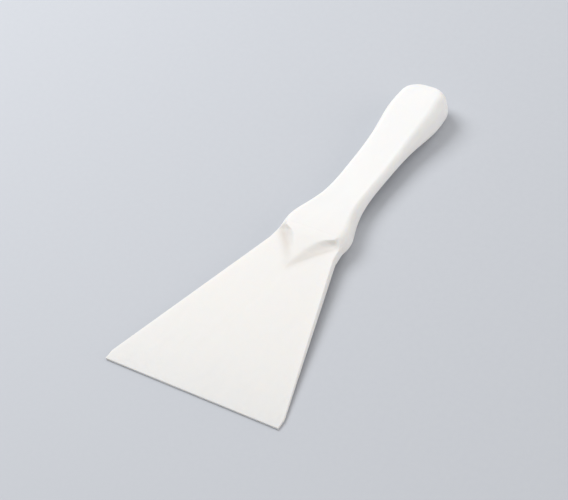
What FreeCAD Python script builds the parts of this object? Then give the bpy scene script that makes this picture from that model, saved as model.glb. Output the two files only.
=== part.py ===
import FreeCAD, Part
import math
import os
import Sketcher

# One-piece hand scraper, moulded solid in white polyethylene: a wide tapering blade, a
# V-shaped prow where the blade leaves the shoulder, and a waisted handle that swells
# into a rounded butt. Both faces of the tool are alike.
#
# Modelling frame: X across the blade, Y from the scraping edge to the butt, Z = 0 on the
# handle's mid-plane. At the end the tool is laid down as it comes to rest on a bench.

# Driving dimensions in mm: alias, value, what it is. Lengths follow one another along Y.
DIMENSIONS = [
    ("blade_width", 127.0, "width of the scraping edge before its corners are clipped"),
    ("blade_length", 117.5, "scraping edge to the end of the blade's straight sides"),
    ("edge_thickness", 1.5, "blade at the scraping edge"),
    ("edge_drop", 3.3, "scraping edge below the handle's mid-plane"),
    ("clip_along_side", 6.6, "clipped corner, measured up the side of the blade"),
    ("clip_along_edge", 2.1, "clipped corner, measured in from the blade's full width"),
    ("neck_width", 46.0, "blade where its straight sides end"),
    ("neck_thickness", 6.2, "blade where it enters the shoulder"),
    ("neck_length", 10.0, "end of the straight sides to the front of the shoulder"),
    ("seat_depth", 5.0, "how far the blade runs on inside the shoulder"),
    ("prow_length", 24.0, "front of the shoulder to the tip of the prow"),
    ("prow_foot_width", 41.0, "foot of the prow at the shoulder"),
    ("prow_ridge_width", 37.0, "flat top of the prow at the shoulder"),
    ("knee_length", 3.3, "front of the shoulder to the knees, where the ridges turn outward"),
    ("knee_width", 19.4, "flat top of the prow between its knees"),
    ("prow_tip_width", 1.6, "tip of the prow"),
    ("prow_sink", 0.15, "how far the foot of the prow starts below the blade's surface"),
    ("flank_hollow", 0.5, "how far the prow's flanks are hollowed at the knees"),
    ("shoulder_rim_radius", 2.4, "rounding of the shoulder's front rim"),
    ("shoulder_width", 43.0, "shoulder behind its front rim"),
    ("shoulder_depth", 13.4, "thickness of the shoulder behind its front rim"),
    ("crown_length", 6.6, "front rim to the crown of the shoulder"),
    ("crown_width", 42.4, "shoulder at its crown"),
    ("crown_depth", 14.2, "thickness of the shoulder at its crown"),
    ("heel_length", 11.0, "crown to the back corner of the shoulder"),
    ("heel_width", 35.6, "shoulder at its back corner"),
    ("heel_depth", 14.2, "thickness of the shoulder at its back corner"),
    ("throat_length", 13.0, "back corner of the shoulder to the throat of the grip"),
    ("throat_width", 29.0, "grip at its throat"),
    ("throat_depth", 11.0, "thickness of the grip at its throat"),
    ("waist_length", 27.0, "throat to waist"),
    ("waist_width", 27.2, "grip at its waist"),
    ("waist_depth", 8.2, "thickness of the grip at its waist"),
    ("palm_length", 35.0, "waist to palm"),
    ("palm_width", 30.2, "grip under the palm"),
    ("palm_depth", 12.0, "thickness of the grip under the palm"),
    ("butt_length", 24.0, "palm to the widest part of the butt"),
    ("butt_width", 34.0, "butt at its widest"),
    ("butt_depth", 18.4, "thickness of the butt at its widest"),
    ("brow_length", 9.0, "widest part of the butt to where its end starts to round off"),
    ("brow_width", 32.0, "butt where its end starts to round off"),
    ("brow_depth", 19.8, "thickness of the butt where its end starts to round off"),
    ("end_length", 12.5, "start of the rounding to the end of the butt"),
    ("end_side_inset", 13.0, "how far the sides close in round the end of the butt"),
    ("end_face_inset", 6.0, "how far the faces close in round the end of the butt"),
    ("shoulder_corner", 3.0, "long corners of the shoulder"),
    ("grip_corner", 6.5, "long corners of the grip where it is thick enough for them"),
]

doc = FreeCAD.newDocument("hand_scraper")
sheet = doc.addObject("Spreadsheet::Sheet", "dims")
for row, (alias, value, meaning) in enumerate(DIMENSIONS, start=1):
    sheet.set(f"A{row}", meaning)
    sheet.set(f"B{row}", str(value))
    sheet.setAlias(f"B{row}", alias)
doc.recompute()

body = doc.addObject("PartDesign::Body", "scraper")
body.Label = "scraper"


# Sections across the tool -----------------------------------------------------------


def station(lengths):
    """Expression for a distance from the scraping edge: the sum of the named lengths."""
    return " + ".join(f"dims.{length}" for length in lengths)


def drawn_on(plane_role, name):
    """Empty sketch on one of the body's own planes."""
    sketch = body.newObject("Sketcher::SketchObject", name)
    plane = next(item for item in body.Origin.OriginFeatures if item.Role == plane_role)
    sketch.AttachmentSupport = [(plane, "")]
    sketch.MapMode = "FlatFace"
    return sketch


def cross_section(name, distance, lift="0"):
    """Empty sketch across the tool, at a distance from the scraping edge."""
    sketch = drawn_on("XZ_Plane", name)
    sketch.setExpression("AttachmentOffset.Base.z", f"-({distance})")
    sketch.setExpression("AttachmentOffset.Base.y", lift)
    return sketch


def bind_size(sketch, name, kind, line, expression):
    """Distance from the sketch's origin to the start of a line, bound to the sheet."""
    size = sketch.evalExpression(expression)
    index = sketch.addConstraint(Sketcher.Constraint(kind, -1, 1, line, 1, size))
    sketch.renameConstraint(index, name)
    sketch.setExpression(f"Constraints.{name}", expression)


def soft_rectangle(sketch, half_width, half_depth, corner_run, corner_drop):
    """
    Centred rectangle with arcs for corners. An arc leaves the flat face tangentially,
    corner_run in from the side, and meets the side corner_drop below the face.
    """
    x = sketch.evalExpression(half_width)
    z = sketch.evalExpression(half_depth)
    run = sketch.evalExpression(corner_run)
    drop = sketch.evalExpression(corner_drop)
    radius = (run**2 + drop**2) / (2 * drop)
    sweep = math.atan2(run, radius - drop)
    normal = FreeCAD.Vector(0, 0, 1)
    for face in (1, -1):
        upright = face * math.pi / 2
        near = FreeCAD.Vector(face * (x - run), face * z)
        far = FreeCAD.Vector(-face * (x - run), face * z)
        near_circle = Part.Circle(near - FreeCAD.Vector(0, face * radius), normal, radius)
        far_circle = Part.Circle(far - FreeCAD.Vector(0, face * radius), normal, radius)
        side_top = FreeCAD.Vector(-face * x, face * (z - drop))
        side_bottom = FreeCAD.Vector(-face * x, -face * (z - drop))
        sketch.addGeometry(Part.ArcOfCircle(near_circle, upright - sweep, upright))
        sketch.addGeometry(Part.LineSegment(near, far))
        sketch.addGeometry(Part.ArcOfCircle(far_circle, upright, upright + sweep))
        sketch.addGeometry(Part.LineSegment(side_top, side_bottom))
    for first in (0, 4):
        arc, flat, next_arc, side = range(first, first + 4)
        sketch.addConstraint(Sketcher.Constraint("Tangent", arc, 2, flat, 1))
        sketch.addConstraint(Sketcher.Constraint("Tangent", flat, 2, next_arc, 1))
        sketch.addConstraint(Sketcher.Constraint("Coincident", next_arc, 2, side, 1))
        sketch.addConstraint(Sketcher.Constraint("Coincident", side, 2, (side + 1) % 8, 1))
        sketch.addConstraint(Sketcher.Constraint("Symmetric", flat, 1, flat, 2, -2))
        sketch.addConstraint(Sketcher.Constraint("Symmetric", side, 1, side, 2, -1))
    sketch.addConstraint(Sketcher.Constraint("Symmetric", 1, 1, 5, 2, -1))
    sketch.addConstraint(Sketcher.Constraint("Symmetric", 0, 1, 2, 2, -2))
    bind_size(sketch, "half_width", "DistanceX", 0, half_width)
    bind_size(sketch, "half_depth", "DistanceY", 1, half_depth)
    bind_size(sketch, "half_flat", "DistanceX", 1, f"{half_width} - ({corner_run})")
    bind_size(sketch, "side_top", "DistanceY", 0, f"{half_depth} - ({corner_drop})")


def loft(name, sections, ruled):
    """Add a solid through the sections: straight between them if ruled, otherwise smooth."""
    feature = body.newObject("PartDesign::AdditiveLoft", name)
    feature.Profile = sections[0]
    feature.Sections = sections[1:]
    feature.Ruled = ruled


# Blade: a wedge extruded across the tool from its side view, then cut to its outline ----


def along_blade(at_edge, at_neck, distance):
    """Expression for a size that changes evenly from the scraping edge to the neck."""
    return f"({at_edge} + ({at_neck} - {at_edge}) * ({distance}) / dims.blade_length)"


def blade_lift(distance):
    return along_blade("-dims.edge_drop", "0", distance)


def blade_half_depth(distance):
    return along_blade("dims.edge_thickness", "dims.neck_thickness", distance) + " / 2"


def blade_half_width(distance):
    return along_blade("dims.blade_width", "dims.neck_width", distance) + " / 2"


def outline(sketch, corners):
    """Closed outline of straight lines through the corners, each given by two expressions."""
    points = [FreeCAD.Vector(*map(sketch.evalExpression, corner)) for corner in corners]
    first = sketch.GeometryCount
    for start, end in zip(points, points[1:] + points[:1]):
        sketch.addGeometry(Part.LineSegment(start, end))
    for number, (across, up) in enumerate(corners):
        line = first + number
        before = first + (number - 1) % len(corners)
        sketch.addConstraint(Sketcher.Constraint("Coincident", before, 2, line, 1))
        bind_size(sketch, f"across_{line}", "DistanceX", line, across)
        bind_size(sketch, f"up_{line}", "DistanceY", line, up)


shoulder_front = station(["blade_length", "neck_length"])
blade_back = f"{shoulder_front} + dims.seat_depth"
side_view = drawn_on("YZ_Plane", "blade_side_view")
upper_corners = [
    ("0", "dims.edge_thickness / 2 - dims.edge_drop"),
    ("dims.blade_length", "dims.neck_thickness / 2"),
    (blade_back, "dims.neck_thickness / 2"),
]
lower_corners = [
    (blade_back, "-dims.neck_thickness / 2"),
    ("dims.blade_length", "-dims.neck_thickness / 2"),
    ("0", "-dims.edge_thickness / 2 - dims.edge_drop"),
]
outline(side_view, upper_corners + lower_corners)
wedge = body.newObject("PartDesign::Pad", "blade_wedge")
wedge.Profile = side_view
wedge.SideType = "Symmetric"
wedge.setExpression("Length", "dims.blade_width")

plan_view = drawn_on("XY_Plane", "blade_plan_view")
half_plan = [
    ("dims.blade_width / 2 - dims.clip_along_edge", "0"),
    (blade_half_width("dims.clip_along_side"), "dims.clip_along_side"),
    ("dims.neck_width / 2", "dims.blade_length"),
    ("dims.shoulder_width / 2", shoulder_front),
    ("dims.shoulder_width / 2", blade_back),
]
waste = [
    ("dims.blade_width", "-dims.seat_depth"),
    ("dims.blade_width", f"{blade_back} + dims.seat_depth"),
]
for half in (half_plan, waste):
    mirrored = [(f"-({across})", along) for across, along in reversed(half)]
    outline(plan_view, half + mirrored)
trimming = body.newObject("PartDesign::Pocket", "blade_outline")
trimming.Profile = plan_view
trimming.SideType = "Symmetric"
trimming.Type = "ThroughAll"


# Handle: a smooth loft from the shoulder to the butt, its two ends rounded off --------


def corner_on(size, half_width, half_depth):
    """Expression for a corner radius, kept small enough for the section it goes on."""
    return f"min({size}; 0.8 * ({half_depth}); 0.8 * ({half_width}))"


def rounded_end(name, start, run, half_width, half_depth, side_inset, face_inset, corner_size):
    """
    Quarter-round over one end of the handle: its sections shrink along a quarter ellipse,
    by side_inset at each side and by face_inset at each face, over the length of the run.
    """
    sections = []
    for turn in (0, 30, 60, 90):
        width = f"{half_width} - {side_inset} * (1 - cos({turn} deg))"
        depth = f"{half_depth} - {face_inset} * (1 - cos({turn} deg))"
        corner = corner_on(corner_size, width, depth)
        across = cross_section(f"{name}_{turn}", f"{start} + {run} * sin({turn} deg)")
        soft_rectangle(across, width, depth, corner, corner)
        sections.append(across)
    loft(name, sections, ruled=False)


lengths = ["blade_length", "neck_length", "shoulder_rim_radius"]
grip_sections = []
for place in ("shoulder", "crown", "heel", "throat", "waist", "palm", "butt", "brow"):
    if grip_sections:
        lengths.append(f"{place}_length")
    across = cross_section(place, station(lengths))
    half_width = f"dims.{place}_width / 2"
    half_depth = f"dims.{place}_depth / 2"
    size = "dims.shoulder_corner" if place in ("shoulder", "crown", "heel") else "dims.grip_corner"
    corner = corner_on(size, half_width, half_depth)
    soft_rectangle(across, half_width, half_depth, corner, corner)
    grip_sections.append(across)
loft("grip", grip_sections, ruled=False)

rounded_end(
    "shoulder_rim",
    f"{shoulder_front} + dims.shoulder_rim_radius",
    "-dims.shoulder_rim_radius",
    "dims.shoulder_width / 2",
    "dims.shoulder_depth / 2",
    "dims.shoulder_rim_radius",
    "dims.shoulder_rim_radius",
    "dims.shoulder_corner",
)
rounded_end(
    "butt_end",
    station(lengths),
    "dims.end_length",
    "dims.brow_width / 2",
    "dims.brow_depth / 2",
    "dims.end_side_inset",
    "dims.end_face_inset",
    "dims.grip_corner",
)


# Prow: a ridge on each face that falls from the shoulder to a point on the blade --------

def hollow_ridge(sketch, half_foot, foot_height, half_ridge, half_depth, hollow):
    """Flat-topped ridge on both faces; its flanks are arcs hollowed by the given depth."""
    run, rise = f"({half_foot} - {half_ridge})", f"({half_depth} - ({foot_height}))"
    curve = f"({run} * {run} + {rise} * {rise}) / (8 * {hollow}) + {hollow} / 2"
    foot_x, foot_z, ridge_x, ridge_z, radius = map(
        sketch.evalExpression, (half_foot, foot_height, half_ridge, half_depth, curve)
    )
    feet, ridges = [], []
    for right, up in ((1, 1), (-1, 1), (-1, -1), (1, -1)):
        foot = FreeCAD.Vector(right * foot_x, up * foot_z)
        ridge = FreeCAD.Vector(right * ridge_x, up * ridge_z)
        chord = (ridge - foot).Length
        outward = FreeCAD.Vector(right * (ridge_z - foot_z), up * (foot_x - ridge_x)).normalize()
        centre = (foot + ridge) / 2 + outward * math.sqrt(radius**2 - chord**2 / 4)
        start, end = (ridge, foot) if right == up else (foot, ridge)
        turns = [math.atan2(point.y - centre.y, point.x - centre.x) for point in (start, end)]
        turns[1] += 2 * math.pi * (turns[1] < turns[0])
        circle = Part.Circle(centre, FreeCAD.Vector(0, 0, 1), radius)
        sketch.addGeometry(Part.ArcOfCircle(circle, *turns))
        feet.append(foot)
        ridges.append(ridge)
    sketch.addGeometry(Part.LineSegment(ridges[0], ridges[1]))
    sketch.addGeometry(Part.LineSegment(feet[1], feet[2]))
    sketch.addGeometry(Part.LineSegment(ridges[2], ridges[3]))
    sketch.addGeometry(Part.LineSegment(feet[3], feet[0]))
    for arc, (start, end) in enumerate(
        (((4, 1), (7, 2)), ((5, 1), (4, 2)), ((6, 1), (5, 2)), ((7, 1), (6, 2)))
    ):
        sketch.addConstraint(Sketcher.Constraint("Coincident", arc, 1, *start))
        sketch.addConstraint(Sketcher.Constraint("Coincident", arc, 2, *end))
    for line, axis in ((4, -2), (6, -2), (5, -1), (7, -1)):
        sketch.addConstraint(Sketcher.Constraint("Symmetric", line, 1, line, 2, axis))
    sketch.addConstraint(Sketcher.Constraint("Symmetric", 5, 1, 7, 2, -2))
    sketch.addConstraint(Sketcher.Constraint("Symmetric", 4, 2, 6, 1, -1))
    for arc in (1, 2, 3):
        sketch.addConstraint(Sketcher.Constraint("Equal", 0, arc))
    bind_size(sketch, "half_ridge", "DistanceX", 4, half_ridge)
    bind_size(sketch, "half_depth", "DistanceY", 4, half_depth)
    bind_size(sketch, "half_foot", "DistanceX", 5, f"-({half_foot})")
    bind_size(sketch, "foot_height", "DistanceY", 5, foot_height)
    index = sketch.addConstraint(Sketcher.Constraint("Radius", 0, radius))
    sketch.renameConstraint(index, "flank_radius")
    sketch.setExpression("Constraints.flank_radius", curve)


tip_distance = f"{shoulder_front} - dims.prow_length"
tip_face = f"({blade_half_depth(tip_distance)} + {blade_lift(tip_distance)})"
knee_share = "(1 - dims.knee_length / dims.prow_length)"
knee_foot = f"(dims.prow_tip_width + (dims.prow_foot_width - dims.prow_tip_width) * {knee_share}) / 2"
knee_distance = f"{shoulder_front} - dims.knee_length"
prow_sections = [
    cross_section("prow_tip", tip_distance),
    cross_section("prow_knees", knee_distance),
    cross_section("prow_front", shoulder_front),
    cross_section("prow_root", f"{shoulder_front} + dims.shoulder_rim_radius"),
]
hollow_ridge(
    prow_sections[0],
    "dims.prow_tip_width / 2",
    f"{tip_face} - 2 * dims.prow_sink",
    "dims.prow_tip_width / 4",
    f"{tip_face} - dims.prow_sink",
    "dims.flank_hollow / 20",
)
hollow_ridge(
    prow_sections[1],
    knee_foot,
    "dims.neck_thickness / 2 - dims.prow_sink",
    "dims.knee_width / 2",
    f"{tip_face} + (dims.shoulder_depth / 2 - {tip_face}) * {knee_share}",
    "dims.flank_hollow",
)
for across in prow_sections[2:]:
    hollow_ridge(
        across,
        "dims.prow_foot_width / 2",
        "dims.neck_thickness / 2 - dims.prow_sink",
        "dims.prow_ridge_width / 2",
        "dims.shoulder_depth / 2",
        "dims.flank_hollow / 2",
    )
loft("prow", prow_sections, ruled=True)
doc.recompute()


# Rest: the tool lies on the two lowest points of its side view that its weight is between


def lower_hull(points):
    """Lower side of the convex hull of the points (y, z), from low y to high y."""
    hull = []
    for point in sorted(points):
        while len(hull) > 1 and turns_down(hull[-2], hull[-1], point):
            hull.pop()
        hull.append(point)
    return hull


def turns_down(first, second, third):
    rise = (second[0] - first[0]) * (third[1] - first[1])
    fall = (second[1] - first[1]) * (third[0] - first[0])
    return rise <= fall


def resting_placement(shape):
    """Tip the tool onto its resting line and put the origin under the middle of its box."""
    side_view = []
    for wire in shape.slice(FreeCAD.Vector(1, 0, 0), 0):
        side_view.extend(wire.discretize(2000))
    hull = lower_hull([(point.y, point.z) for point in side_view])
    balance = shape.CenterOfGravity.y
    front, back = next(pair for pair in zip(hull, hull[1:]) if pair[0][0] <= balance <= pair[1][0])
    lean = math.atan2(back[1] - front[1], back[0] - front[0])
    level = FreeCAD.Rotation(FreeCAD.Vector(1, 0, 0), -math.degrees(lean))
    laid = [level.multVec(point) for point in side_view]
    lengthwise = [point.y for point in laid]
    middle = (min(lengthwise) + max(lengthwise)) / 2
    lowest = min(point.z for point in laid)
    return FreeCAD.Placement(FreeCAD.Vector(0, -middle, -lowest), level)


body.Placement = resting_placement(body.Shape)
doc.recompute()

for item in doc.Objects:
    if "Invalid" in item.State or "Error" in item.State:
        raise RuntimeError(f"{item.Name} failed: {item.State}")
if body.Shape.isNull() or not body.Shape.isValid() or len(body.Shape.Solids) != 1:
    raise RuntimeError("the scraper isn't one sound solid")

os.makedirs("parts", exist_ok=True)
body.Shape.exportStep(f"parts/{body.Label}.step")
print(f"{body.Label}: {body.Shape.Volume:.0f} mm3, {body.Placement}")
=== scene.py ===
import math

import bmesh
import bpy
import numpy as np
from mathutils import Matrix, Vector


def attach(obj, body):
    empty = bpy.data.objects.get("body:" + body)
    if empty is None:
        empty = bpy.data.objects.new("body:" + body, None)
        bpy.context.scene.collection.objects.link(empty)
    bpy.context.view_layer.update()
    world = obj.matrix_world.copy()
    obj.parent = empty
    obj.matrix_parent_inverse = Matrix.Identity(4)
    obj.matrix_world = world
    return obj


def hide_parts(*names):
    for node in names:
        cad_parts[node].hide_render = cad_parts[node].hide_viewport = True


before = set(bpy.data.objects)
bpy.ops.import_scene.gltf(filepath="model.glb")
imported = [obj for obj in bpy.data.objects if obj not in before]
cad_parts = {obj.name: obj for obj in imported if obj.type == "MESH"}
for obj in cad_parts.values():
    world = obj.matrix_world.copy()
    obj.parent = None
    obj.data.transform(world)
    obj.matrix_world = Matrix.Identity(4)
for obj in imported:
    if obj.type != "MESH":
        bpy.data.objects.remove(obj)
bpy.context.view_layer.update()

# ------------------------------------------------------------------------------------
# The tool: blade, prow, shoulder and grip are one shot of solid white polyethylene from
# a two-part mould, so it is one skin of rings strung from the scraping edge to the butt.
# Sizes are in mm along the tool, which is laid on the bench at the end.

SCRAPING_EDGE_WIDTH = 122.8  # between the clipped corners
BLADE_FULL_WIDTH = 127.0  # if its corners were not clipped
CLIP_LENGTH = 6.6  # clipped corner, up the side of the blade
BLADE_LENGTH = 117.5  # to the end of its straight sides
NECK_WIDTH = 46.0
EDGE_THICKNESS = 1.5
NECK_THICKNESS = 6.2
EDGE_DROP = 3.3  # scraping edge below the handle's mid-plane
BLADE_CORNER = 0.45  # rounding of the blade's long edges
EDGE_CORNER = 0.35  # the same where they meet the scraping edge
EDGE_ROUNDING = 0.3  # rounding of the scraping edge itself

SHOULDER_FRONT = 127.5
PROW_TIP = 102.5
# Lines of the prow as places along the tool, then the height of its ramp over the
# mid-plane, how far out its ridges lie, and how far out its feet lie
PROW_TOPS = ([102.5, 124.5, 126.0, 127.5, 129.0, 131.0], [2.38, 6.17, 6.39, 6.55, 6.65, 6.7])
PROW_RIDGES = (
    [102.5, 115.5, 119.0, 122.3, 125.5, 127.8, 131.0],
    [0.2, 3.9, 6.2, 8.4, 12.0, 17.4, 18.5],
)
PROW_FEET = (
    [102.5, 112.3, 115.8, 120.5, 125.0, 127.5, 131.0],
    [0.9, 8.6, 11.2, 15.4, 19.2, 20.6, 20.8],
)
PROW_LEAD_IN = 3.0  # how far before its tip the prow starts to blend in
FLANK_HOLLOW = 1.5  # power of the flank's rise: 1 is straight, more is hollower
BEYOND_FOOT = 4.0  # how fast the flank's line falls away outside its foot
RIDGE_SOFTNESS = 0.5
FOOT_SOFTNESS = 1.2
FOOT_SOFTENING = 12.0  # length from the tip over which the foot grows that soft
LEAST_SOFTNESS = 0.02  # of the foot, at the tip
WALL_START, WALL_END = 124.0, 131.5  # the shoulder's front wall, either side of the prow

GRIP_PLACES = np.array([129.9, 136.5, 147.5, 160.5, 187.5, 222.5, 246.5, 255.5])
GRIP_HALF_WIDTHS = np.array([43.8, 43.4, 35.6, 29.0, 27.2, 30.2, 34.0, 32.0]) / 2
GRIP_HALF_DEPTHS = np.array([13.4, 14.2, 14.2, 11.0, 8.2, 12.0, 18.4, 19.8]) / 2
CORNER_RUNS = np.array([4.4, 4.4, 3.4, 2.8, 2.9, 4.2, 5.4, 5.4])  # across the top
CORNER_DROPS = np.array([4.0, 4.0, 3.8, 3.6, 3.0, 4.4, 6.0, 6.0])  # down the side
BUTT_END = 12.45  # length over which the butt rounds off
BUTT_SIDE_INSET = 14.0  # how far its sides close in
BUTT_FACE_INSET = 6.0  # how far its faces close in
MOST_RUN, MOST_DROP = 0.8, 0.9  # of the butt's half width and half depth, for its corners


def smooth_through(places, values):
    """Smooth curve through the values, slack at both ends."""
    gaps = np.diff(places)
    count = len(places)
    system = np.eye(count)
    bends = np.zeros(count)
    for i in range(1, count - 1):
        system[i, i - 1 : i + 2] = gaps[i - 1], 2 * (gaps[i - 1] + gaps[i]), gaps[i]
        rise_before, rise_after = np.diff(values[i - 1 : i + 2]) / gaps[i - 1 : i + 1]
        bends[i] = 6 * (rise_after - rise_before)
    curve = np.linalg.solve(system, bends)

    def at(place):
        i = int(np.clip(np.searchsorted(places, place) - 1, 0, count - 2))
        gap = gaps[i]
        after = (place - places[i]) / gap
        before = 1 - after
        bend = (before**3 - before) * curve[i] + (after**3 - after) * curve[i + 1]
        return before * values[i] + after * values[i + 1] + bend * gap**2 / 6

    return at


grip_half_width = smooth_through(GRIP_PLACES, GRIP_HALF_WIDTHS)
grip_half_depth = smooth_through(GRIP_PLACES, GRIP_HALF_DEPTHS)
corner_run = smooth_through(GRIP_PLACES, CORNER_RUNS)
corner_drop = smooth_through(GRIP_PLACES, CORNER_DROPS)


def between(start, end, share):
    return start + (end - start) * share


def soft_maximum(first, second, blend):
    """The higher of two heights, with a hollow where they cross."""
    share = np.clip(0.5 + 0.5 * (first - second) / blend, 0, 1)
    return between(second, first, share) + blend * share * (1 - share)


def blade_middle(place):
    return -EDGE_DROP * max(0.0, 1 - place / BLADE_LENGTH)


def blade_half_depth(place):
    return between(EDGE_THICKNESS, NECK_THICKNESS, min(1.0, place / BLADE_LENGTH)) / 2


def blade_top_at(place):
    return blade_middle(place) + blade_half_depth(place)


def blade_half_width(place):
    if place < CLIP_LENGTH:
        above_clip = between(BLADE_FULL_WIDTH, NECK_WIDTH, CLIP_LENGTH / BLADE_LENGTH)
        return between(SCRAPING_EDGE_WIDTH, above_clip, place / CLIP_LENGTH) / 2
    if place < BLADE_LENGTH:
        return between(BLADE_FULL_WIDTH, NECK_WIDTH, place / BLADE_LENGTH) / 2
    share = (place - BLADE_LENGTH) / (SHOULDER_FRONT - BLADE_LENGTH)
    return between(NECK_WIDTH / 2, GRIP_HALF_WIDTHS[0], min(1.0, share))


def up_the_wall(place):
    """How far a place lies along the shoulder's front wall, from 0 to 1."""
    return np.clip((place - WALL_START) / (WALL_END - WALL_START), 0, 1)


def prow_height(across, place):
    """Height of the prow over the mid-plane: a ramp with a hollow flank on each side."""
    top, ridge, foot = (np.interp(place, *line) for line in (PROW_TOPS, PROW_RIDGES, PROW_FEET))
    base = blade_top_at(place)
    share = (foot - np.abs(across)) / (foot - ridge)
    flank = max(top - base, 0.0) * np.abs(share) ** FLANK_HOLLOW
    rise = np.where(share > 0, flank, BEYOND_FOOT * share)
    rounded = np.clip((np.abs(across) - GRIP_HALF_WIDTHS[0]) / CORNER_RUNS[0] + 1, 0, 1)
    cap = GRIP_HALF_DEPTHS[0] - CORNER_DROPS[0] * (1 - np.sqrt(1 - rounded**2))
    ramp = np.minimum(top, cap)
    return -soft_maximum(-base - rise, -ramp, RIDGE_SOFTNESS)


# Each ring: place along the tool, half width, height of its middle, half depth, and how
# far its corners run across the face and drop down the side. First the scraping edge.
rings = []
for turn in np.linspace(90, 0, 6)[:-1]:
    inset = EDGE_ROUNDING * (1 - math.cos(math.radians(turn)))
    place = EDGE_ROUNDING * (1 - math.sin(math.radians(turn)))
    rings.append(
        (
            place,
            blade_half_width(place) - inset,
            blade_middle(place),
            blade_half_depth(place) - inset,
            EDGE_CORNER - inset,
            EDGE_CORNER - inset,
        )
    )
# Rings from the blade to the butt, close together at the clips, the prow and the shoulder
places = np.concatenate(
    [
        [EDGE_ROUNDING, 1.0, 2.0, 3.5, 5.0, 6.0, 6.4, 6.8, 7.2, 8.0],
        np.linspace(10, 98, 23),
        np.linspace(100, 124, 49),
        np.linspace(124.25, 136, 48),
        np.linspace(136, 165, 30)[1:],
        np.linspace(165, GRIP_PLACES[-1], 46)[1:],
    ]
)
for place in places:
    wall = up_the_wall(place)
    wall = wall * wall * (3 - 2 * wall)
    grip_place = max(place, GRIP_PLACES[0])
    depth = between(blade_half_depth(place), grip_half_depth(grip_place), wall)
    width = blade_half_width(place) if place < GRIP_PLACES[0] else grip_half_width(place)
    edge = min(BLADE_CORNER, 0.6 * depth)
    run = between(edge, corner_run(grip_place), wall)
    drop = between(edge, corner_drop(grip_place), wall)
    rings.append((place, width, blade_middle(place), depth, run, drop))
# The butt's end, a quarter round
for turn in np.linspace(0, 90, 21)[1:]:
    angle = math.radians(turn)
    close = 1 - math.cos(angle)
    width = GRIP_HALF_WIDTHS[-1] - BUTT_SIDE_INSET * close
    depth = GRIP_HALF_DEPTHS[-1] - BUTT_FACE_INSET * close
    run = min(CORNER_RUNS[-1], MOST_RUN * width)
    drop = min(CORNER_DROPS[-1], MOST_DROP * depth)
    rings.append((GRIP_PLACES[-1] + BUTT_END * math.sin(angle), width, 0.0, depth, run, drop))

# Half a ring runs over the top from the right-hand side to the left-hand side
SIDE_STEPS, CORNER_STEPS, FACE_STEPS = 3, 8, 84
CROWDING = 1.15  # over 1, the points of a face crowd towards its corners
face_share = np.linspace(-1, 1, FACE_STEPS + 1)
face_share = np.sign(face_share) * (1 - (1 - np.abs(face_share)) ** CROWDING)


def half_ring(place, width, depth, run, drop, middle):
    """Points (across, height over the middle) of one half of a ring, from right to left."""
    side = [(width, (depth - drop) * i / SIDE_STEPS) for i in range(SIDE_STEPS)]
    turns = np.linspace(0, 0.5 * math.pi, CORNER_STEPS, endpoint=False)
    arc_across = [width - run + run * math.cos(turn) for turn in turns]
    arc_height = [depth - drop + drop * math.sin(turn) for turn in turns]
    arc = list(zip(arc_across, arc_height))
    face = [(-share * (width - run), depth) for share in face_share]
    left = [(-x, z) for x, z in reversed(side + arc)]
    points = np.array(side + arc + face + left)
    if PROW_TIP - PROW_LEAD_IN < place < WALL_END:
        lifted = slice(SIDE_STEPS, len(points) - SIDE_STEPS)
        prow = prow_height(points[lifted, 0], place) - middle
        past_tip = np.clip((place - PROW_TIP) / FOOT_SOFTENING, 0, 1)
        softness = LEAST_SOFTNESS + FOOT_SOFTNESS * (1 - up_the_wall(place)) * past_tip
        points[lifted, 1] = soft_maximum(points[lifted, 1], prow, softness)
    return points


verts, faces = [], []
for place, width, middle, depth, run, drop in rings:
    upper = [(x, middle + z) for x, z in half_ring(place, width, depth, run, drop, middle)]
    lower = [(x, middle - z) for x, z in half_ring(place, width, depth, run, drop, -middle)]
    loop = upper + lower[::-1][1:-1]
    verts.extend((x, place, z) for x, z in loop)
per_ring = len(loop)
for ring in range(len(rings) - 1):
    for i in range(per_ring):
        a, b = ring * per_ring + i, ring * per_ring + (i + 1) % per_ring
        faces.append((a, b, b + per_ring, a + per_ring))
# Close both ends, with faces from the upper half of the ring to the lower
half = len(upper)
for start, flip in ((0, True), ((len(rings) - 1) * per_ring, False)):
    for i in range(half - 1):
        across = (per_ring - i - 1) % per_ring, (per_ring - i) % per_ring
        quad = list(dict.fromkeys(start + point for point in (i, i + 1, *across)))
        faces.append(tuple(quad[::-1] if flip else quad))

# The tool rests on its scraping edge and its butt, so it leans a little
LEAN = 1.34882  # degrees
REST_SHIFT = (0, -134.041, 4.04504)
laid = Matrix.Translation(REST_SHIFT) @ Matrix.Rotation(math.radians(LEAN), 4, "X")
mesh = bpy.data.meshes.new("scraper_moulding")
mesh.from_pydata(verts, [], faces)
mesh.transform(Matrix.Scale(0.001, 4) @ laid)
shaping = bmesh.new()
shaping.from_mesh(mesh)
bmesh.ops.recalc_face_normals(shaping, faces=shaping.faces)
shaping.to_mesh(mesh)
shaping.free()
mesh.shade_smooth()

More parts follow.
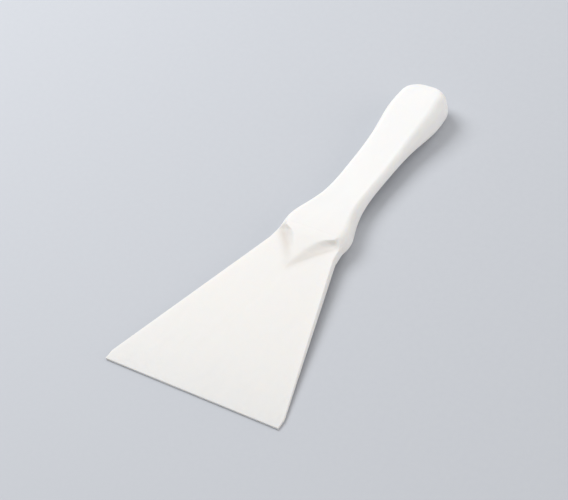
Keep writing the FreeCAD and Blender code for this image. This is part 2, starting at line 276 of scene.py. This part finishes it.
# Painted shade in the crease at the foot of the prow, most of it on the left, standing in for
# the soft shadow there
CREASE_REACH = 2.8  # how far it spreads either side
CREASE_INSET = 1.0  # where it is thickest, inward from the foot
PAINTED_SHADE_START, PAINTED_SHADE_GROWTH = 106.0, 18.0  # from here it deepens, over this length
LEAST_LEFT_SHADE = 0.25
RIGHT_SHADE = 0.45
LEFT_SHADE_END, RIGHT_SHADE_END, SHADE_FADE = 128.5, 127.0, 6.0
FAR_AWAY = 1e9
spots = np.array(verts)
side_of_middle, along = spots[:, 0], spots[:, 1]
in_plan = np.abs(spots[:, :2])
from_crease = np.full(len(verts), FAR_AWAY)
foot_line = np.array(PROW_FEET[::-1]).T[:-1] - [CREASE_INSET, 0]
for start, end in zip(foot_line, foot_line[1:]):
    leg = end - start
    share = np.clip((in_plan - start) @ leg / (leg @ leg), 0, 1)
    gap = np.linalg.norm(in_plan - start - share[:, None] * leg, axis=1)
    from_crease = np.minimum(from_crease, gap)
toward_shoulder = np.clip((along - PAINTED_SHADE_START) / PAINTED_SHADE_GROWTH, 0, 1)
left_fade = np.clip((LEFT_SHADE_END - along) / SHADE_FADE, 0, 1)
right_fade = np.clip((RIGHT_SHADE_END - along) / SHADE_FADE, 0, 1)
left_shade = between(LEAST_LEFT_SHADE, 1, toward_shoulder) * left_fade
# The right-hand share is painted shade on the lower part of the right flank
shade_depth = np.where(side_of_middle < 0, left_shade, RIGHT_SHADE * right_fade)
painted_shading = shade_depth * np.exp(-((from_crease / CREASE_REACH) ** 2))
# The painted shade goes on the mesh as an attribute for the material to read
painted_shade = mesh.attributes.new("painted_shade", "FLOAT", "POINT")
painted_shade.data.foreach_set("value", painted_shading)
moulding = bpy.data.objects.new("scraper_moulding", mesh)
bpy.context.collection.objects.link(moulding)
even_sheen = moulding.modifiers.new("even_sheen", "WEIGHTED_NORMAL")
even_sheen.mode = "FACE_AREA"
even_sheen.keep_sharp = True

polyethylene = bpy.data.materials.new("white_polyethylene")
polyethylene.use_nodes = True
nodes, links = polyethylene.node_tree.nodes, polyethylene.node_tree.links
shader = nodes["Principled BSDF"]
shader.inputs["Subsurface Weight"].default_value = 0.5
shader.inputs["Subsurface Radius"].default_value = (1.0, 0.86, 0.72)
shader.inputs["Subsurface Scale"].default_value = 0.004
shader.inputs["IOR"].default_value = 1.51
spot = nodes.new("ShaderNodeTexCoord")
axes = nodes.new("ShaderNodeSeparateXYZ")
links.new(spot.outputs["Object"], axes.inputs[0])

# The white runs from a darker, warmer tone at the scraping edge to a purer, lighter white at
# the butt.
EDGE_AT, BUTT_AT = -0.134, 0.134  # ends of the tool as it lies, in m
tone_along_tool = nodes.new("ShaderNodeMapRange")
tone_along_tool.inputs["From Min"].default_value = EDGE_AT
tone_along_tool.inputs["From Max"].default_value = BUTT_AT
links.new(axes.outputs["Y"], tone_along_tool.inputs["Value"])
tone = nodes.new("ShaderNodeValToRGB")
tone.color_ramp.elements[0].color = (0.868, 0.848, 0.822, 1)
tone.color_ramp.elements[1].color = (0.942, 0.941, 0.934, 1)
for stop, colour in ((0.44, (0.902, 0.888, 0.866, 1)), (0.56, (0.932, 0.928, 0.918, 1))):
    tone.color_ramp.elements.new(stop).color = colour
links.new(tone_along_tool.outputs["Result"], tone.inputs["Fac"])

# Cloudiness from the way the melt flowed down the mould.
flow_frame = nodes.new("ShaderNodeMapping")
flow_frame.inputs["Scale"].default_value = (1.0, 0.45, 1.0)
links.new(spot.outputs["Object"], flow_frame.inputs["Vector"])
flow = nodes.new("ShaderNodeTexNoise")
flow.inputs["Scale"].default_value = 70.0
flow.inputs["Detail"].default_value = 4.0
flow.inputs["Distortion"].default_value = 0.6
links.new(flow_frame.outputs["Vector"], flow.inputs["Vector"])
cloud = nodes.new("ShaderNodeMapRange")
cloud.inputs["From Min"].default_value = 0.3
cloud.inputs["From Max"].default_value = 0.7
cloud.inputs["To Min"].default_value = 0.965
cloud.inputs["To Max"].default_value = 1.0
links.new(flow.outputs["Fac"], cloud.inputs["Value"])
clouded = nodes.new("ShaderNodeVectorMath")
clouded.operation = "SCALE"
links.new(tone.outputs["Color"], clouded.inputs[0])
links.new(cloud.outputs["Result"], clouded.inputs["Scale"])

# Painted shade darkens and warms the white where the mesh's attribute says it lies.
crease_shade = nodes.new("ShaderNodeAttribute")
crease_shade.attribute_name = "painted_shade"
shaded_colour = nodes.new("ShaderNodeMix")
shaded_colour.data_type = "RGBA"
shaded_colour.blend_type = "MULTIPLY"
shaded_colour.inputs["B"].default_value = (0.795, 0.752, 0.715, 1)
links.new(crease_shade.outputs["Fac"], shaded_colour.inputs["Factor"])
links.new(clouded.outputs["Vector"], shaded_colour.inputs["A"])
links.new(shaded_colour.outputs["Result"], shader.inputs["Base Color"])

# Fine scuffs run along the blade, most of them near its edge.
scuff_frame = nodes.new("ShaderNodeMapping")
scuff_frame.inputs["Rotation"].default_value = (0, 0, 0.12)
scuff_frame.inputs["Scale"].default_value = (1.0, 0.03, 1.0)
links.new(spot.outputs["Object"], scuff_frame.inputs["Vector"])
scuff = nodes.new("ShaderNodeTexNoise")
scuff.inputs["Scale"].default_value = 900.0
scuff.inputs["Detail"].default_value = 2.0
links.new(scuff_frame.outputs["Vector"], scuff.inputs["Vector"])
scratch = nodes.new("ShaderNodeMapRange")
scratch.inputs["From Min"].default_value = 0.62
scratch.inputs["From Max"].default_value = 0.70
links.new(scuff.outputs["Fac"], scratch.inputs["Value"])
worn = nodes.new("ShaderNodeMapRange")
worn.interpolation_type = "SMOOTHSTEP"
worn.inputs["From Min"].default_value = EDGE_AT
worn.inputs["From Max"].default_value = -0.02
worn.inputs["To Min"].default_value = 1.0
worn.inputs["To Max"].default_value = 0.15
links.new(axes.outputs["Y"], worn.inputs["Value"])
wear = nodes.new("ShaderNodeMath")
wear.operation = "MULTIPLY"
links.new(scratch.outputs["Result"], wear.inputs[0])
links.new(worn.outputs["Result"], wear.inputs[1])

# Satin sheen, a little uneven, duller where it is scuffed.
sheen = nodes.new("ShaderNodeMapRange")
sheen.inputs["From Min"].default_value = 0.3
sheen.inputs["From Max"].default_value = 0.7
sheen.inputs["To Min"].default_value = 0.50
sheen.inputs["To Max"].default_value = 0.60
links.new(flow.outputs["Fac"], sheen.inputs["Value"])
dulled = nodes.new("ShaderNodeMath")
dulled.operation = "MULTIPLY_ADD"
dulled.inputs[1].default_value = 0.12
links.new(wear.outputs[0], dulled.inputs[0])
links.new(sheen.outputs["Result"], dulled.inputs[2])
links.new(dulled.outputs[0], shader.inputs["Roughness"])

# Surface: slow ripples from shrinkage, the mould's fine spark-eroded grain, the scuffs.
ripple = nodes.new("ShaderNodeBump")
ripple.inputs["Strength"].default_value = 0.5
ripple.inputs["Distance"].default_value = 0.0004
links.new(flow.outputs["Fac"], ripple.inputs["Height"])
grain = nodes.new("ShaderNodeTexNoise")
grain.inputs["Scale"].default_value = 650.0
grain.inputs["Detail"].default_value = 5.0
grain.inputs["Roughness"].default_value = 0.7
links.new(spot.outputs["Object"], grain.inputs["Vector"])
eroded = nodes.new("ShaderNodeBump")
eroded.inputs["Strength"].default_value = 0.5
eroded.inputs["Distance"].default_value = 0.00006
links.new(grain.outputs["Fac"], eroded.inputs["Height"])
links.new(ripple.outputs["Normal"], eroded.inputs["Normal"])
scored = nodes.new("ShaderNodeBump")
scored.invert = True
scored.inputs["Strength"].default_value = 0.6
scored.inputs["Distance"].default_value = 0.00003
links.new(wear.outputs[0], scored.inputs["Height"])
links.new(eroded.outputs["Normal"], scored.inputs["Normal"])
links.new(scored.outputs["Normal"], shader.inputs["Normal"])
mesh.materials.append(polyethylene)

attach(moulding, "root")
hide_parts("scraper")

# ------------------------------------------------------------------------------------
# The bench: a sheet of pale blue-grey laminate, pressed matt with a fine fleck in it.
# It runs far past the view on every side, so no edge of it is seen.

bench_mesh = bpy.data.meshes.new("bench_top")
bench_shape = bmesh.new()
bmesh.ops.create_grid(bench_shape, x_segments=8, y_segments=8, size=3.0)
bench_shape.to_mesh(bench_mesh)
bench_shape.free()
bench = bpy.data.objects.new("bench_top", bench_mesh)
bpy.context.collection.objects.link(bench)
laminate = bpy.data.materials.new("pale_laminate")
laminate.use_nodes = True
bench_nodes, bench_links = laminate.node_tree.nodes, laminate.node_tree.links
top = bench_nodes["Principled BSDF"]
bench_spot = bench_nodes.new("ShaderNodeTexCoord")
fleck = bench_nodes.new("ShaderNodeTexNoise")
fleck.inputs["Scale"].default_value = 260.0
fleck.inputs["Detail"].default_value = 3.0
bench_links.new(bench_spot.outputs["Object"], fleck.inputs["Vector"])
shade = bench_nodes.new("ShaderNodeMix")
shade.data_type = "RGBA"
shade.inputs["A"].default_value = (0.565, 0.59, 0.64, 1)
shade.inputs["B"].default_value = (0.595, 0.62, 0.665, 1)
bench_links.new(fleck.outputs["Fac"], shade.inputs["Factor"])
bench_links.new(shade.outputs["Result"], top.inputs["Base Color"])
matt = bench_nodes.new("ShaderNodeMapRange")
matt.inputs["To Min"].default_value = 0.6
matt.inputs["To Max"].default_value = 0.75
bench_links.new(fleck.outputs["Fac"], matt.inputs["Value"])
bench_links.new(matt.outputs["Result"], top.inputs["Roughness"])
texture = bench_nodes.new("ShaderNodeBump")
texture.inputs["Strength"].default_value = 0.2
texture.inputs["Distance"].default_value = 0.0001
bench_links.new(fleck.outputs["Fac"], texture.inputs["Height"])
bench_links.new(texture.outputs["Normal"], top.inputs["Normal"])
bench_mesh.materials.append(laminate)

# ------------------------------------------------------------------------------------
# The studio: a large soft lamp high on the left lights the faces and casts the shadow, a
# warm card low on the right lifts the shaded side, and a white room fills in all round.
# The camera looks down on the tool from beyond the right-hand end of its scraping edge.

lamp = bpy.data.lights.new("soft_box", "AREA")
lamp.shape = "SQUARE"
lamp.size = 0.9
lamp.energy = 15.6
soft_box = bpy.data.objects.new("soft_box", lamp)
bpy.context.collection.objects.link(soft_box)
soft_box.location = (-0.97, 0.35, 1.2)
to_tool = Vector((0, 0, 0)) - soft_box.location
soft_box.rotation_euler = to_tool.to_track_quat("-Z", "Y").to_euler()

fill = bpy.data.lights.new("fill_card", "AREA")
fill.shape = "SQUARE"
fill.size = 1.4
fill.energy = 9.8
fill.color = (1.0, 0.93, 0.85)
fill_card = bpy.data.objects.new("fill_card", fill)
bpy.context.collection.objects.link(fill_card)
fill_card.location = (1.6, 0.4, 0.45)
to_tool = Vector((0, 0, 0)) - fill_card.location
fill_card.rotation_euler = to_tool.to_track_quat("-Z", "Y").to_euler()

room = bpy.data.worlds.new("studio")
room.use_nodes = True
room.node_tree.nodes["Background"].inputs["Color"].default_value = (1, 1, 1, 1)
room.node_tree.nodes["Background"].inputs["Strength"].default_value = 0.51
bpy.context.scene.world = room

camera_data = bpy.data.cameras.new("camera")
camera_data.sensor_width = 36
camera_data.lens = 126.76
camera_data.clip_start = 0.05
camera = bpy.data.objects.new("camera", camera_data)
bpy.context.collection.objects.link(camera)
camera.location = (0.58977, -0.64509, 0.81654)
camera.rotation_euler = [math.radians(angle) for angle in (46.096, 10.0551, 34.3363)]
bpy.context.scene.camera = camera
bpy.context.scene.view_settings.view_transform = "Standard"
